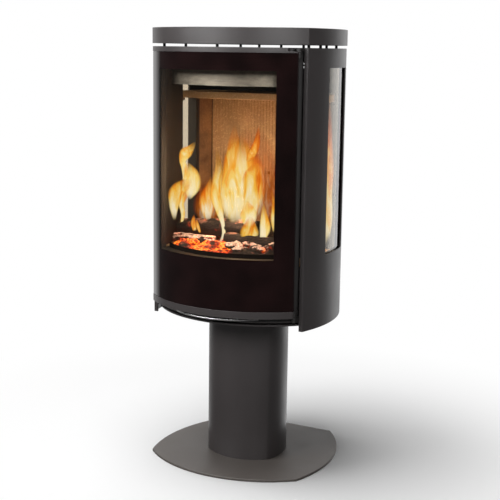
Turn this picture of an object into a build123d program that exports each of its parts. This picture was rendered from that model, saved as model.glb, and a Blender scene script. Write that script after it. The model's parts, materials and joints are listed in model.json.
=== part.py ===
from build123d import *
import math
import os

os.makedirs("parts", exist_ok=True)

# ---------------------------------------------------------------- driving dimensions (mm)
# Layout frame: X to the right, the stove faces -Y, the floor is z = 0.
TOTAL_HEIGHT = 1120.0

# Plan outlines: half width at the front corners, y of those corners, bulge of the front arc,
# half width at the back corners, y of the back, bulge of each side arc.
BODY_PLAN = (217.0, -177.0, 90.0, 131.0, 188.0, 51.2)
BASE_PLAN = (216.0, -189.0, 84.0, 138.0, 186.0, 52.0)
COLUMN_PLAN = (91.5, -104.0, 38.3, 58.5, 53.0, 22.0)
LID_PLAN = (219.5, -179.5, 90.0, 132.5, 189.0, 51.2)

BASE_THICK = 6.0
BODY_BOTTOM = 395.5
PANEL_BOTTOM = 384.0
PANEL_TOP = 1073.5
LID_BOTTOM = 1080.6
PLATE = 4.0                  # heavy plates: bottom, top, lid, side panels
SHEET = 3.0                  # folded sheet: firebox, column, covers
GAP = 0.3                    # clearance kept between separate pieces

# Door: every door curve shares the vertical axis (0, DOOR_AXIS_Y).
DOOR_AXIS_Y = 5.0
DOOR_R = 290.0               # outer face of the glass
DOOR_HALF = 203.0
GLASS_T = 4.0
DOOR_BOTTOM = 421.0
GLASS_BOTTOM = 438.5
GLASS_TOP = 1061.0
DOOR_TOP = 1073.0
WINDOW_HALF = 163.5
WINDOW_BOTTOM = 566.0
WINDOW_TOP = 1019.0
FRAME_FRONT_R = 283.5        # front face of the steel door frame
FRAME_BACK_R = 265.0         # back edge of its flanges
FACE_R = 261.5               # front face of the firebox front plate

# Side windows
SIDE_WIN_FRONT = -87.0
SIDE_WIN_REAR = 48.0         # cut in the outer panel
SHELL_WIN_REAR = -9.0        # cut in the firebox wall behind it
POST_REAR = -68.5            # rear face of the air posts, and front edge of the firebox wall's window
SIDE_WIN_BOTTOM = 566.0
SIDE_WIN_TOP = 1026.0

# Firebox
SHELL_INSET = 13.0           # from the outer panel's face to the firebox wall's face
SHELL_BACK = 100.0
FLOOR_Z = 540.0
HEARTH_Z = 566.0
SHELL_TOP = 1062.0
BRICK_BACK_Y = 50.0          # face of the back lining
BRICK_T = 25.0
BAFFLE_Z = 941.0
BAFFLE_FRONT = -68.0
BAFFLE_T = 18.0

# Hinge of the door
HINGE_X, HINGE_Y = 199.0, -190.0
PIN_R = 4.0
PIN_PLAY = 0.06
EAR_R = 7.0                  # knuckle on the door
EAR_H = 16.0
EAR_LOW_Z = DOOR_BOTTOM
EAR_TOP_Z = 1065.0
LUG_R = 6.8                  # rounded nose of the fixed lug, inside the door frame's sweep

# Ducts
FLUE_R = 75.3                # inside of the collar, takes a 150 mm flue pipe
FLUE_Z = 972.0
AIR_R = 50.2                 # inside of the fresh air spigot, takes a 100 mm duct
AIR_Y = -35.0

# Air control lever, on a pivot below the firebox
LEVER_PIVOT_Y = 22.0
LEVER_Z = 401.0
PIVOT_R = 4.0
PIVOT_PLAY = 0.05
PORT_CIRCLE_R = 52.0         # circle that the round air ports lie on
PORT_R = 9.0
VALVE_R = 66.0               # rounded head of the lever

# The finished part is moved so that its origin is under the middle of its outer box.
FRONT_MOST = DOOR_AXIS_Y - DOOR_R - 1.0
ORIGIN_SHIFT = -(FRONT_MOST + LID_PLAN[4]) / 2

FLAT = (Align.CENTER, Align.CENTER, Align.MIN)
MIRROR = (-1, 1)


# ---------------------------------------------------------------- building helpers
def save(shape, node):
    """Move a finished piece to the part's origin and write it."""
    shape = Pos(0, ORIGIN_SHIFT, 0) * shape
    export_step(shape, f"parts/{node}.step")


def block(x0, x1, y0, y1, z0, z1):
    """Box between two corners."""
    box = Box(x1 - x0, y1 - y0, z1 - z0)
    return Pos((x0 + x1) / 2, (y0 + y1) / 2, (z0 + z1) / 2) * box


def rod(x, y, z0, z1, r):
    """Upright cylinder."""
    return Pos(x, y, z0) * Cylinder(r, z1 - z0, align=FLAT)


def tube(x, y, z0, z1, r_out, r_in):
    return rod(x, y, z0, z1, r_out) - rod(x, y, z0 - 1, z1 + 1, r_in)


def rod_y(x, z, y0, y1, r):
    """Cylinder along Y."""
    return Pos(x, y1, z) * Rot(90, 0, 0) * Cylinder(r, y1 - y0, align=FLAT)


def group(pieces):
    """Separate solids in one node."""
    return Compound([solid for piece in pieces for solid in piece.solids()])


def side_arc(plan):
    """Axis and radius of the right-hand side arc of a plan outline."""
    half, front_y, _, back_half, back_y, bulge = plan
    dx, dy = back_half - half, back_y - front_y
    chord = math.hypot(dx, dy)
    radius = (chord * chord / 4 + bulge * bulge) / (2 * bulge)
    nx, ny = dy / chord, -dx / chord
    reach = radius - bulge
    return (half + back_half) / 2 - nx * reach, (front_y + back_y) / 2 - ny * reach, radius


def side_x(plan, y, inset=0.0):
    """X of the right side arc at a given y."""
    cx, cy, radius = side_arc(plan)
    return cx + math.sqrt((radius - inset) ** 2 - (y - cy) ** 2)


def outline(plan, inset=0.0, corner=0.0):
    """Closed plan face: front arc, two side arcs and a flat back."""
    half, front_y, front_bulge, back_half, back_y, _ = plan
    cx, cy, radius = side_arc(plan)
    mid_x, mid_y = side_x(plan, 0.0), 0.0
    edges = [
        ThreePointArc((-half, front_y), (0, front_y - front_bulge), (half, front_y)),
        ThreePointArc((half, front_y), (mid_x, mid_y), (back_half, back_y)),
        Line((back_half, back_y), (-back_half, back_y)),
        ThreePointArc((-back_half, back_y), (-mid_x, mid_y), (-half, front_y)),
    ]
    face = make_face(edges)
    if inset:
        face = offset(face, amount=-inset, kind=Kind.INTERSECTION)
    if corner:
        face = fillet(face.vertices(), corner)
    return face


def slab(face, z0, z1):
    """Extrude a plan face between two heights."""
    return extrude(Pos(0, 0, z0) * face, z1 - z0)


def door_band(r_out, r_in, half, z0, z1):
    """Curved strip about the door's axis, cut off square at plus and minus half."""
    ring = tube(0, DOOR_AXIS_Y, z0, z1, r_out, r_in)
    return ring & block(-half, half, -400, DOOR_AXIS_Y - 60, z0, z1)


def side_band(plan, inset_out, inset_in, y0, y1, z0, z1):
    """Curved strip that follows the right side arc between two y planes."""
    cx, cy, radius = side_arc(plan)
    ring = tube(cx, cy, z0, z1, radius - inset_out, radius - inset_in)
    return ring & block(60, 400, y0, y1, z0, z1)


def flip(shape):
    """Mirror a right-hand piece to the left."""
    return mirror(shape, about=Plane.YZ)


def screw_y(x, z, y, r=3.5, head=3.0, shank=8.0):
    """Button-head screw on a face that looks to +Y."""
    return rod_y(x, z, y, y + head, r) + rod_y(x, z, y - shank, y, r * 0.55)


def door_y(radius, x):
    """Y of a door curve at a given x."""
    return DOOR_AXIS_Y - math.sqrt(radius ** 2 - x ** 2)


# ---------------------------------------------------------------- pedestal
def base_plate():
    plate = slab(outline(BASE_PLAN, corner=4.0), 0, BASE_THICK)
    plate = plate - rod(0, AIR_Y, -1, BASE_THICK + 1, AIR_R + 4.0)
    for x, y in FLANGE_BOLTS:
        plate = plate - rod(x, y, -1, BASE_THICK + 1, BOLT_HOLE_R)
    return chamfer(plate.faces().sort_by(Axis.Z)[-1].outer_wire().edges(), 1.0)


def column_shell():
    """Bent steel column, open down the middle of its back for the cover."""
    z0, z1 = BASE_THICK, BODY_BOTTOM
    wall = slab(outline(COLUMN_PLAN), z0, z1)
    wall = wall - slab(outline(COLUMN_PLAN, SHEET), z0 - 1, z1 + 1)
    hole_x = COLUMN_PLAN[3] - 14
    wall = wall - block(-hole_x, hole_x, 30, 70, z0 + 16, z1 - 16)
    for x, z in COVER_SCREWS:
        wall = wall - rod_y(x, z, 40, 60, 2.3)
    return wall


def column_flange(z0, z1, bore_r):
    """Ring plate welded inside one end of the column."""
    ring = slab(outline(COLUMN_PLAN, SHEET + GAP), z0, z1)
    ring = ring - rod(0, AIR_Y, z0 - 1, z1 + 1, bore_r)
    for x, y in FLANGE_BOLTS:
        ring = ring - rod(x, y, z0 - 1, z1 + 1, BOLT_HOLE_R)
    return ring


BOLT_HOLE_R = 4.4
FLANGE_BOLTS = [(s * 70.0, -92.0) for s in MIRROR] + [(s * 50.0, 34.0) for s in MIRROR]


def flange_bolts():
    """Hexagon bolts through the two column flanges."""
    bolts = []
    for x, y in FLANGE_BOLTS:
        hexagon = RegularPolygon(6.5, 6)
        low = extrude(Pos(x, y, BASE_THICK + 6) * hexagon, 5.0) + rod(x, y, 1.0, BASE_THICK + 6, 4.0)
        top_z = BODY_BOTTOM - 6
        high = extrude(Pos(x, y, top_z - 5) * hexagon, 5.0)
        high = high + rod(x, y, top_z, BODY_BOTTOM + PLATE - 0.5, 4.0)
        bolts += [low, high]
    return group(bolts)


def column_rear_cover():
    half = COLUMN_PLAN[3] - 8
    y = COLUMN_PLAN[4]
    plate = block(-half, half, y + 0.2, y + 2.2, BASE_THICK + 8, BODY_BOTTOM - 8)
    for x, z in COVER_SCREWS:
        plate = plate - rod_y(x, z, y - 1, y + 4, 2.3)
    return plate


COVER_SCREWS = [(s * 46.5, z) for s in MIRROR for z in (26.0, 200.0, 374.0)]


def cover_screws():
    return group([screw_y(x, z, COLUMN_PLAN[4] + 2.2) for x, z in COVER_SCREWS])


# ---------------------------------------------------------------- casing
LIP_R = 275.0
LIP_APEX = -253.0
DECK_Z = 404.5


def lip_face(inset):
    """Plan of the two front shelves: inside the panels, own curve at the front."""
    inner = outline(BODY_PLAN, inset)
    disc = Pos(0, LIP_APEX + LIP_R) * Circle(LIP_R)
    back = Pos(0, 200) * Rectangle(600, 400)
    return inner & (disc + back)


def bottom_plate():
    plate = slab(lip_face(PLATE + GAP), BODY_BOTTOM, BODY_BOTTOM + PLATE)
    plate = plate - rod(0, AIR_Y, BODY_BOTTOM - 1, BODY_BOTTOM + PLATE + 1, AIR_R + 3.2)
    for x, y in FLANGE_BOLTS:
        plate = plate - rod(x, y, BODY_BOTTOM - 1, BODY_BOTTOM + PLATE + 1, BOLT_HOLE_R)
    return plate - pivot_hole(BODY_BOTTOM)


def pivot_hole(z0):
    """Hole for the lever's pin through one of the two shelves."""
    return rod(0, LEVER_PIVOT_Y, z0 - 1, z0 + PLATE + 1, PIVOT_R + PIVOT_PLAY)


PORT_ANGLES = (-30.0, 0.0, 30.0)
PORT_SHIFT = 11.0            # the lever's ports are half a port round from the deck's


def valve_hole(angle, z0, z1):
    """Round air port, on a circle about the lever's pivot."""
    a = math.radians(angle)
    x, y = PORT_CIRCLE_R * math.sin(a), LEVER_PIVOT_Y - PORT_CIRCLE_R * math.cos(a)
    return rod(x, y, z0, z1, PORT_R)


def lower_deck():
    """Second shelf, which closes the air box below the firebox."""
    deck = slab(lip_face(PLATE + GAP), DECK_Z, DECK_Z + PLATE)
    for angle in PORT_ANGLES:
        deck = deck - valve_hole(angle, DECK_Z - 1, DECK_Z + PLATE + 1)
    return deck - pivot_hole(DECK_Z)


def shelf_spacers():
    """Blocks that hold the two shelves apart."""
    spots = [(s * 160.0, -150.0) for s in MIRROR] + [(s * 180.0, 40.0) for s in MIRROR]
    spots += [(s * 90.0, 150.0) for s in MIRROR]
    z0, z1 = BODY_BOTTOM + PLATE, DECK_Z
    return group([rod(x, y, z0, z1, 9.0) for x, y in spots])


def side_panel():
    """Right outer panel: curved plate with a narrow fold at the front and one at the back."""
    front, back = BODY_PLAN[1], BODY_PLAN[4]
    panel = side_band(BODY_PLAN, 0, PLATE, front, back, PANEL_BOTTOM, PANEL_TOP)
    x = side_x(BODY_PLAN, front)
    fold = block(x - 10.5, x - 1.5, front, front + PLATE, PANEL_BOTTOM, PANEL_TOP)
    back_x = BODY_PLAN[3]
    back_fold = block(back_x - 24, back_x - 1, back - SHEET, back, PANEL_BOTTOM, PANEL_TOP)
    window = block(150, 300, SIDE_WIN_FRONT, SIDE_WIN_REAR, SIDE_WIN_BOTTOM, SIDE_WIN_TOP)
    panel = panel + fold + back_fold - window
    for z in PANEL_SCREW_Z:
        panel = panel - rod_y(BODY_PLAN[3] - 16, z, back - 10, back + 2, PANEL_SCREW_R + 0.2)
    return panel


def back_panel():
    half = BODY_PLAN[3] - 24 - GAP
    y1 = BODY_PLAN[4]
    z0, z1 = DECK_Z + PLATE + 3, PANEL_TOP - PLATE - 1
    panel = block(-half, half, y1 - SHEET, y1, z0, z1)
    lap = block(-half - 14, half + 14, y1 - 2 * SHEET - GAP, y1 - SHEET - GAP, z0, z1)
    panel = panel + lap + block(-half + 3, half - 3, y1 - 2 * SHEET, y1 - 1, z0 + 3, z1 - 3)
    panel = panel - rod_y(0, FLUE_Z, y1 - 20, y1 + 5, FLUE_R + 5.0)
    for row in range(7):
        for column in range(5):
            x, z = (column - 2) * 36.0, 470.0 + row * 16.0
            panel = panel - block(x - 13, x + 13, y1 - 20, y1 + 5, z - 3, z + 3)
    for z in PANEL_SCREW_Z:
        for s in MIRROR:
            panel = panel - rod_y(s * (BODY_PLAN[3] - 16), z, y1 - 20, y1 + 2, PANEL_SCREW_R + 0.2)
    return panel


PANEL_SCREW_Z = (440.0, 640.0, 840.0, 1040.0)
PANEL_SCREW_R = 2.2


def panel_screws():
    """Screws that hold the back panel to the side panels' folds."""
    x = BODY_PLAN[3] - 16
    y = BODY_PLAN[4]
    spots = [(s * x, z) for s in MIRROR for z in PANEL_SCREW_Z]
    shanks = [rod_y(px, z, y - 14, y - SHEET, PANEL_SCREW_R) for px, z in spots]
    return group([rod_y(px, z, y - SHEET, y, PANEL_SCREW_R) + shank
                  for (px, z), shank in zip(spots, shanks)])


def top_plate():
    z0 = PANEL_TOP - PLATE
    inset = PLATE + GAP
    return slab(top_face(inset), z0, PANEL_TOP)


def top_face(inset):
    """Top plate's plan: its front stays behind the door."""
    inner = outline(BODY_PLAN, inset)
    disc = Pos(0, DOOR_AXIS_Y) * Circle(FACE_R)
    back = Pos(0, 200) * Rectangle(600, 400)
    return inner & (disc + back)


def lid():
    """Folded lid: flat top with a deep rim, held clear of the stove by spacers."""
    whole = slab(outline(LID_PLAN, corner=1.5), LID_BOTTOM, TOTAL_HEIGHT)
    hollow = slab(outline(LID_PLAN, PLATE), LID_BOTTOM - 1, TOTAL_HEIGHT - PLATE)
    top_edges = whole.faces().sort_by(Axis.Z)[-1].edges()
    whole = chamfer(top_edges, 0.8) - hollow
    return whole - rod(0, LID_DISC_Y, TOTAL_HEIGHT - PLATE - 1, TOTAL_HEIGHT + 1, LID_DISC_R + 0.6)


LID_DISC_Y = 10.0
LID_DISC_R = 80.0


def lid_disc():
    """Round plate that fills the lid's unused flue hole, on a wider ledge underneath."""
    disc = rod(0, LID_DISC_Y, TOTAL_HEIGHT - PLATE, TOTAL_HEIGHT - 0.2, LID_DISC_R)
    ledge = rod(0, LID_DISC_Y, TOTAL_HEIGHT - PLATE - 3, TOTAL_HEIGHT - PLATE, LID_DISC_R + 10)
    return disc + ledge


POST_R = 3.6
POST_ROWS = {-231.0: (0.0,), -148.0: (-204.0, 204.0), -60.0: (-194.0, 194.0), 146.0: (-144.0, 144.0),
             176.0: (-102.0, -34.0, 34.0, 102.0)}


def lid_spacers():
    """Short posts on the top plate, in rows across the stove: y of the row, then each post's x."""
    return group([rod(x, y, PANEL_TOP, LID_BOTTOM, POST_R) for y, row in POST_ROWS.items() for x in row])


def lid_brackets():
    """Bars across the inside of the lid, one over each row of posts."""
    inside = outline(LID_PLAN, PLATE)
    bars = [inside & (Pos(0, y) * Rectangle(600, 12)) for y in POST_ROWS]
    return group([slab(bar, LID_BOTTOM, LID_BOTTOM + 4) for bar in bars])


# ---------------------------------------------------------------- firebox
def shell_face(inset):
    """Firebox plan: inside the side arcs, flat at the back, curved at the front."""
    inner = outline(BODY_PLAN, SHELL_INSET + inset)
    disc = Pos(0, DOOR_AXIS_Y) * Circle(FACE_R - SHEET - GAP)
    back = Pos(0, 200) * Rectangle(600, 400)
    depth = Pos(0, SHELL_BACK - inset - 400) * Rectangle(600, 800)
    return inner & (disc + back) & depth


def firebox_shell():
    """Welded firebox: floor at the bottom, open at the front, a window in each side."""
    z0, z1 = DECK_Z + PLATE, SHELL_TOP
    shell = slab(shell_face(0), z0, z1) - slab(shell_face(SHEET), z0 - 1, z1 + 1)
    shell = shell - block(-190, 190, -400, -150, z0 - 1, z1 + 1)
    shell = shell - block(-400, -150, POST_REAR, SHELL_WIN_REAR, SIDE_WIN_BOTTOM, SIDE_WIN_TOP)
    shell = shell - block(150, 400, POST_REAR, SHELL_WIN_REAR, SIDE_WIN_BOTTOM, SIDE_WIN_TOP)
    duct_half = SMOKE_HALF - SHEET
    return shell - block(-duct_half, duct_half, 60, 140, BAFFLE_Z + 40, SHELL_TOP - 6)


def firebox_floor():
    """Floor plate of the firebox with the ash opening."""
    plate = slab(shell_face(SHEET + GAP), FLOOR_Z, FLOOR_Z + PLATE)
    plate = plate - block(-190, 190, -400, -175, FLOOR_Z - 1, FLOOR_Z + PLATE + 1)
    return plate - block(-GRATE_HALF_X + 8, GRATE_HALF_X - 8, GRATE_Y - 52, GRATE_Y + 52,
                         FLOOR_Z - 1, FLOOR_Z + PLATE + 1)


def firebox_top():
    """Roof of the firebox with the blanked top flue hole."""
    roof = slab(shell_face(0), SHELL_TOP, SHELL_TOP + SHEET)
    return roof - rod(0, LID_DISC_Y, SHELL_TOP - 1, SHELL_TOP + SHEET + 1, FLUE_R)


def top_flue_blank():
    """Bolted disc over the top flue hole."""
    disc = rod(0, LID_DISC_Y, SHELL_TOP + SHEET, SHELL_TOP + SHEET + 3, FLUE_R + 14)
    return disc + rod(0, LID_DISC_Y, SHELL_TOP, SHELL_TOP + SHEET, FLUE_R - 1)


def front_plate():
    """Curved face that the door closes on, with the fire opening and the ash opening."""
    z0, z1 = DECK_Z + PLATE, PANEL_TOP - PLATE
    plate = door_band(FACE_R, FACE_R - SHEET, 198.0, z0, z1)
    fire = block(-176, 176, -400, 0, HEARTH_Z - 4, SIDE_WIN_TOP + 4)
    ash = block(-132, 132, -400, 0, z0 + 14, FLOOR_Z - 16)
    return plate - fire - ash


SMOKE_HALF = 92.0


def smoke_box():
    """Flue chamber behind the firebox, open to it above the baffle."""
    y0, y1 = SHELL_BACK, 165.0
    z0, z1 = FLUE_Z - 88, SHELL_TOP
    box = block(-SMOKE_HALF, SMOKE_HALF, y0, y1, z0, z1)
    box = box - block(-SMOKE_HALF + SHEET, SMOKE_HALF - SHEET, y0 - 1, y1 - SHEET, z0 + SHEET, z1 - SHEET)
    return box - rod_y(0, FLUE_Z, y0, y1 + 1, FLUE_R)


def flue_collar():
    """Rear outlet, which ends flush with the back of the stove."""
    y0, y1 = 165.0, BODY_PLAN[4]
    ring = rod_y(0, FLUE_Z, y0, y1, FLUE_R + 3) - rod_y(0, FLUE_Z, y0 - 1, y1 + 1, FLUE_R)
    flange = rod_y(0, FLUE_Z, y0, y0 + 3, FLUE_R + 12) - rod_y(0, FLUE_Z, y0 - 1, y0 + 4, FLUE_R)
    return ring + flange


DEFLECTOR_R = 246.0


def air_deflector():
    """Strip behind the top of the glass that turns the wash air down over it."""
    r = DEFLECTOR_R
    strip = door_band(r, r - 2.5, 160.0, 981.0, 1048.0)
    return strip + door_band(FACE_R - SHEET - GAP, r - 2.5, 160.0, 1045.5, 1048.0)


def log_guard():
    """Low curved bar behind the glass that keeps logs off it."""
    r = 250.0
    z0 = HEARTH_Z - 4
    foot = door_band(r, r - 16, 168.0, z0, z0 + SHEET) & block(-200, 200, -400, -173, z0, z0 + SHEET)
    return door_band(r, r - 3, 168.0, z0, HEARTH_Z + 8) + foot


RIB_PITCH = 9.0
RIB_DEPTH = 2.2


def ribbed_brick(half, z0, z1):
    """Board with moulded upright ribs on its front face."""
    count = int(2 * half / RIB_PITCH)
    start = -count * RIB_PITCH / 2
    points = [(-half, BRICK_BACK_Y + BRICK_T), (-half, BRICK_BACK_Y)]
    for i in range(count):
        x = start + i * RIB_PITCH
        points += [(x + 2.2, BRICK_BACK_Y), (x + 3.4, BRICK_BACK_Y + RIB_DEPTH),
                   (x + 5.6, BRICK_BACK_Y + RIB_DEPTH), (x + 6.8, BRICK_BACK_Y)]
    points += [(half, BRICK_BACK_Y), (half, BRICK_BACK_Y + BRICK_T)]
    face = make_face(Polyline(*points, close=True))
    return slab(face, z0, z1)


AIR_HOLE_PITCH = 41.5
AIR_HOLE_Z = 744.0


def back_lining():
    """Back fire board with its row of tertiary air holes."""
    half = side_x(BODY_PLAN, BRICK_BACK_Y + BRICK_T, SHELL_INSET + SHEET) - 12
    board = ribbed_brick(half, HEARTH_Z, BAFFLE_Z - GAP)
    for i in range(-3, 4):
        x = i * AIR_HOLE_PITCH
        board = board - rod_y(x, AIR_HOLE_Z, BRICK_BACK_Y - 5, BRICK_BACK_Y + BRICK_T + 5, 4.5)
    return board


RAIL_WIDTH = 13.0
LINING_INSET = SHELL_INSET + SHEET + GAP
LINING_T = 18.0


def side_lining():
    """Right rear fire board, curved with the firebox wall."""
    y0, y1 = SHELL_WIN_REAR + RAIL_WIDTH + GAP, BRICK_BACK_Y - GAP
    return side_band(BODY_PLAN, LINING_INSET, LINING_INSET + LINING_T, y0, y1, HEARTH_Z, BAFFLE_Z - GAP)


def lining_rail():
    """Black steel channel that holds the front end of the side board."""
    y0, y1 = SHELL_WIN_REAR - GAP, SHELL_WIN_REAR + RAIL_WIDTH
    z0, z1 = HEARTH_Z, BAFFLE_Z - GAP
    bar = side_band(BODY_PLAN, LINING_INSET, LINING_INSET + LINING_T + 2, y0, y1, z0, z1)
    groove = side_band(BODY_PLAN, LINING_INSET + 2, LINING_INSET + LINING_T, y0 + 2, y1 + 1, z0 - 1, z1 + 1)
    return bar - groove


def air_post():
    """Black hollow post ahead of the side window, which brings warm air up to the top of the glass."""
    outer, inner, wall = LINING_INSET, LINING_INSET + LINING_T + 2, 2.0
    front, rear, z0, z1 = -200.0, POST_REAR, HEARTH_Z, SIDE_WIN_TOP
    post = side_band(BODY_PLAN, outer, inner, front, rear, z0, z1)
    hollow = side_band(BODY_PLAN, outer + wall, inner - wall, front, rear - wall, z0 + wall, z1 + 1)
    behind = FACE_R - SHEET - GAP
    post = post & rod(0, DOOR_AXIS_Y, z0, z1, behind)
    return post - (hollow & rod(0, DOOR_AXIS_Y, z0, z1 + 2, behind - wall))


GRATE_HALF_X = 80.0
GRATE_Y = -60.0


def floor_lining():
    """Fire board floor in one piece, with a dished opening for the grate."""
    z0 = FLOOR_Z + PLATE
    board = slab(shell_face(SHEET + 1.0), z0, HEARTH_Z - GAP)
    board = board - block(-190, 190, -400, -172, z0 - 1, HEARTH_Z + 1)
    return board - block(-GRATE_HALF_X, GRATE_HALF_X, GRATE_Y - 60, GRATE_Y + 60, z0 - 1, HEARTH_Z + 1)


def hearth_sill():
    """Steel sill from the front plate to the fire board floor."""
    z0, z1 = FLOOR_Z + PLATE, HEARTH_Z - 4
    face = Pos(0, DOOR_AXIS_Y) * Circle(FACE_R - SHEET - GAP)
    strip = face & (Pos(0, -272.5) * Rectangle(350, 200))
    return slab(strip, z1 - SHEET, z1)


def grate():
    """Cast grate with long slots."""
    z0 = FLOOR_Z + PLATE + 0.2
    plate = block(-GRATE_HALF_X + 1, GRATE_HALF_X - 1, GRATE_Y - 59, GRATE_Y + 59, z0, z0 + 12)
    for i in range(9):
        x = (i - 4) * 15.0
        plate = plate - block(x - 3.5, x + 3.5, GRATE_Y - 44, GRATE_Y + 44, z0 - 1, z0 + 13)
    return plate


def ash_pan():
    """Folded tray below the grate."""
    z0, z1 = 432.0, 505.0
    pan = block(-118, 118, -218, 60, z0, z1) - block(-116, 116, -216, 58, z0 + 2, z1 + 1)
    grip = block(-50, 50, -230, -217, z1 - 4, z1)
    return pan + grip


def ash_pan_rails():
    """Angle runners that the ash pan slides on."""
    rails = []
    for s in MIRROR:
        x = s * 122.0
        rails.append(block(min(x, x - s * 14), max(x, x - s * 14), -200, 62, 429, 431.7))
        rails.append(block(min(x, x + s * 3), max(x, x + s * 3), -200, 62, DECK_Z + PLATE, 445))
    return group([rails[0] + rails[1], rails[2] + rails[3]])


def baffle():
    """Fire board above the fire: rests on pegs at the front and on the back lining."""
    depth = BRICK_BACK_Y + BRICK_T - BAFFLE_FRONT
    reach = Pos(0, BAFFLE_FRONT + depth / 2) * Rectangle(600, depth)
    return slab(shell_face(SHEET + 1.5) & reach, BAFFLE_Z, BAFFLE_Z + BAFFLE_T)


PEG_R = 4.0


def baffle_pegs():
    """Pegs on the rear faces of the air posts, which carry the front of the baffle."""
    x = side_x(BODY_PLAN, POST_REAR, LINING_INSET + LINING_T / 2)
    z = BAFFLE_Z - PEG_R - GAP
    return group([rod_y(s * x, z, POST_REAR, POST_REAR + 22, PEG_R) for s in MIRROR])


def smoke_shelf():
    """Steel plate above the baffle that sends the gas round a second turn."""
    behind_deflector = Pos(0, DOOR_AXIS_Y) * Circle(DEFLECTOR_R - 4)
    front_part = Pos(0, -190) * Rectangle(600, 400)
    return slab(shell_face(SHEET + 1.5) & behind_deflector & front_part, 1030.0, 1032.5)


# ---------------------------------------------------------------- side windows
def side_glass():
    """Right curved pane, between the firebox wall and the outer panel."""
    z0, z1 = SIDE_WIN_BOTTOM - 12, SIDE_WIN_TOP + 12
    return side_band(BODY_PLAN, 6.0, 10.0, SIDE_WIN_FRONT - 12, SIDE_WIN_REAR + 10, z0, z1)


def side_seal():
    """Flat rope between the pane and the firebox wall."""
    z0, z1 = SIDE_WIN_BOTTOM - 11, SIDE_WIN_TOP + 11
    ring = side_band(BODY_PLAN, 10.1, SHELL_INSET - 0.1, POST_REAR - 11, SHELL_WIN_REAR + 11, z0, z1)
    hole = block(150, 300, POST_REAR - 1, SHELL_WIN_REAR + 1, SIDE_WIN_BOTTOM - 1, SIDE_WIN_TOP + 1)
    return ring - hole


def side_glass_clips():
    """Small clips that press the pane to the firebox wall."""
    clips = []
    for z in (SIDE_WIN_BOTTOM - 19, SIDE_WIN_TOP + 5):
        for y in (-60.0, 20.0):
            clip = side_band(BODY_PLAN, 4.2, 5.8, y, y + 18, z, z + 14)
            stem_z = z if z < SIDE_WIN_BOTTOM else z + 9
            stem = side_band(BODY_PLAN, 4.2, SHELL_INSET - 0.1, y, y + 18, stem_z, stem_z + 5)
            clips.append(clip + stem)
    return group(clips)


# ---------------------------------------------------------------- air supply
def air_spigot():
    """Fresh air inlet that hangs inside the column."""
    z0, z1 = BODY_BOTTOM - 55, BODY_BOTTOM + PLATE
    return tube(0, AIR_Y, z0, z1, AIR_R + 2.6, AIR_R)


def lever_pivot():
    """Shoulder pin of the air lever, fixed in both shelves."""
    z0, z1 = BODY_BOTTOM + 0.5, DECK_Z + PLATE
    return rod(0, LEVER_PIVOT_Y, z0, z1, PIVOT_R) + rod(0, LEVER_PIVOT_Y, z1, z1 + 3, 7.0)


LEVER_T = 2.0
LEVER_HALF = 9.0
LEVER_TIP_Y = LIP_APEX + 1.0


def air_lever():
    """Flat lever between the shelves with a rounded valve head over the air ports."""
    z0, z1 = LEVER_Z, LEVER_Z + LEVER_T
    arm = block(-LEVER_HALF, LEVER_HALF, LEVER_TIP_Y, LEVER_PIVOT_Y, z0, z1)
    head = rod(0, LEVER_PIVOT_Y, z0, z1, VALVE_R)
    lever = arm + head
    for angle in PORT_ANGLES:
        lever = lever - valve_hole(angle + PORT_SHIFT, z0 - 1, z1 + 1)
    return lever - rod(0, LEVER_PIVOT_Y, z0 - 1, z1 + 1, PIVOT_R + PIVOT_PLAY)


def lever_tab():
    """Finger tab on the lever's tip, just proud of the shelves."""
    lip = 0.6
    z0, z1 = LEVER_Z - lip, LEVER_Z + LEVER_T + lip
    return block(-LEVER_HALF, LEVER_HALF, LEVER_TIP_Y - 7, LEVER_TIP_Y, z0, z1)


# ---------------------------------------------------------------- door
def door_frame():
    """Folded steel ring behind the glass: a face, an outer flange and a window flange."""
    half, z0, z1 = DOOR_HALF - 12, DOOR_BOTTOM + 3, DOOR_TOP - 3
    inner_x, iz0, iz1 = WINDOW_HALF, WINDOW_BOTTOM, WINDOW_TOP
    frame = door_band(FRAME_FRONT_R, FRAME_BACK_R, half, z0, z1)
    frame = frame - block(-inner_x, inner_x, -400, 0, iz0, iz1)
    rim, depth = SHEET, FRAME_FRONT_R - SHEET
    channel = door_band(depth, FRAME_BACK_R - 20, half - rim, z0 + rim, z1 - rim)
    keep = block(-inner_x - rim, inner_x + rim, -400, 0, iz0 - rim, iz1 + rim)
    return frame - (channel - keep)


def door_glass():
    return door_band(DOOR_R, DOOR_R - GLASS_T, DOOR_HALF - 0.5, GLASS_BOTTOM + 0.3, GLASS_TOP - 0.3)


def glass_tape():
    """Flat glass-fibre tape between the frame and the glass."""
    z0, z1 = DOOR_BOTTOM + 20, DOOR_TOP - 15
    ring = door_band(DOOR_R - GLASS_T - 0.1, FRAME_FRONT_R + 0.1, DOOR_HALF - 13, z0, z1)
    return ring - block(-WINDOW_HALF - 2, WINDOW_HALF + 2, -400, 0, WINDOW_BOTTOM - 2, WINDOW_TOP + 2)


def door_seal():
    """Rope seal in the frame's channel, just clear of the firebox front."""
    half, z0, z1 = DOOR_HALF - 16, DOOR_BOTTOM + 8, DOOR_TOP - 8
    width = 10.0
    ring = door_band(272.0, FACE_R + 0.4, half, z0, z1)
    return ring - block(-half + width, half - width, -400, 0, z0 + width, z1 - width)


def trim(z0, z1, half):
    """Steel cap strip along one edge of the glass: an outer lip and a web behind."""
    strip = door_band(DOOR_R + 1.0, FRAME_FRONT_R + 0.1, half, z0, z1)
    return strip - rod(HINGE_X, HINGE_Y, z0 - 1, z1 + 1, 7.3)


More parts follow.
